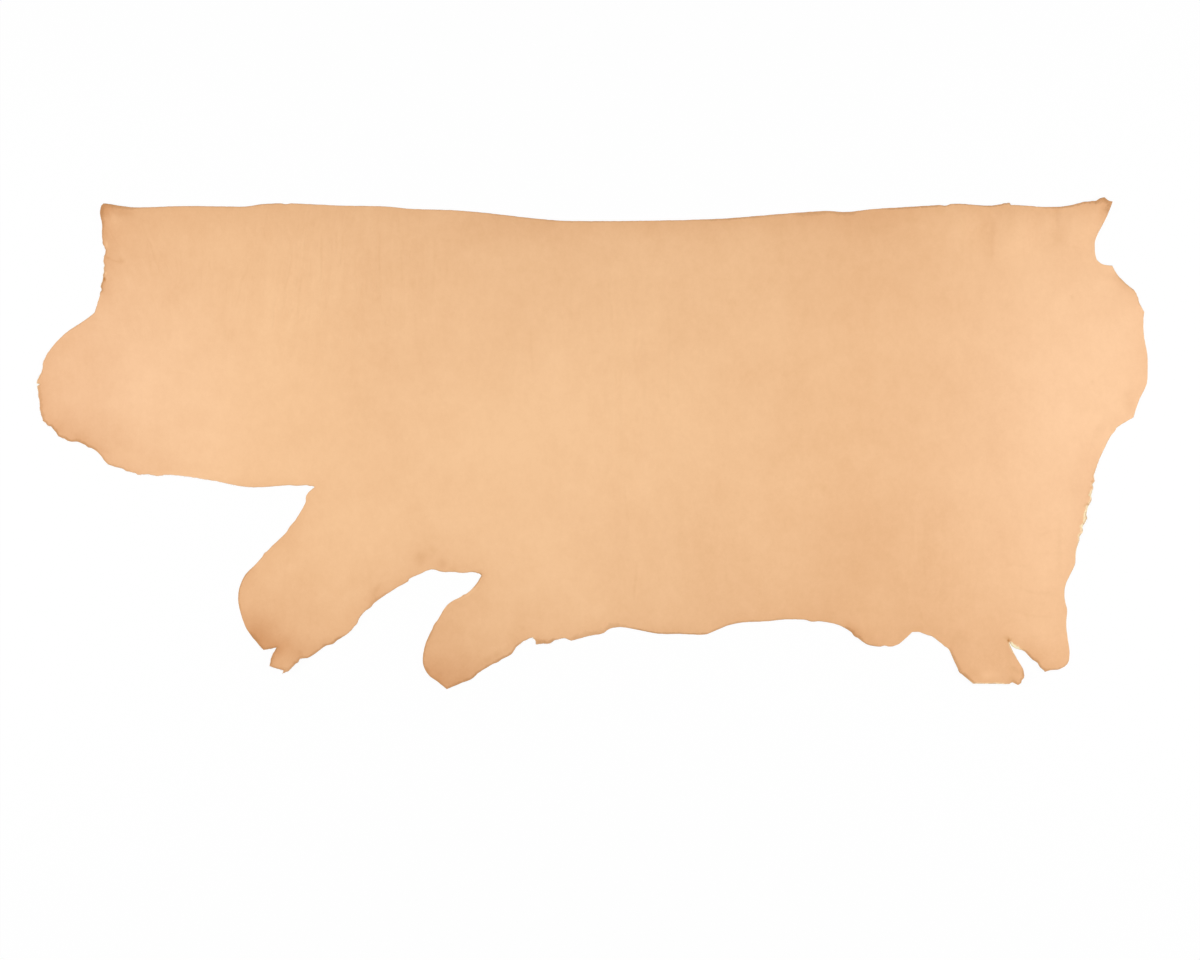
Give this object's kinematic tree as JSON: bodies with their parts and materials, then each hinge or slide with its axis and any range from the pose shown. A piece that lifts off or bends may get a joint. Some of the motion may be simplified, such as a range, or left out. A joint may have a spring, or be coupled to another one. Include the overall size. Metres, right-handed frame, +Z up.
{
  "type": "leather side",
  "caption": "Side of natural vegetable-tanned leather: a cow hide split along the backbone, lying flat, grain side up, with its natural neck, belly, shank and rump outline.",
  "frame": {"origin": "middle of the hide's bounding box in plan, on the surface that the flesh side lies on", "axes": "+X along the backbone toward the tail, +Y from the belly toward the straight backbone edge, +Z up out of the grain side"},
  "size_m": [2.443, 1.081, 0.0165],
  "materials": {
    "grain_leather": "natural vegetable-tanned grain, undyed, satin"
  },
  "bodies": {
    "root": {"leather_side": "grain_leather"}
  },
  "joints": []
}
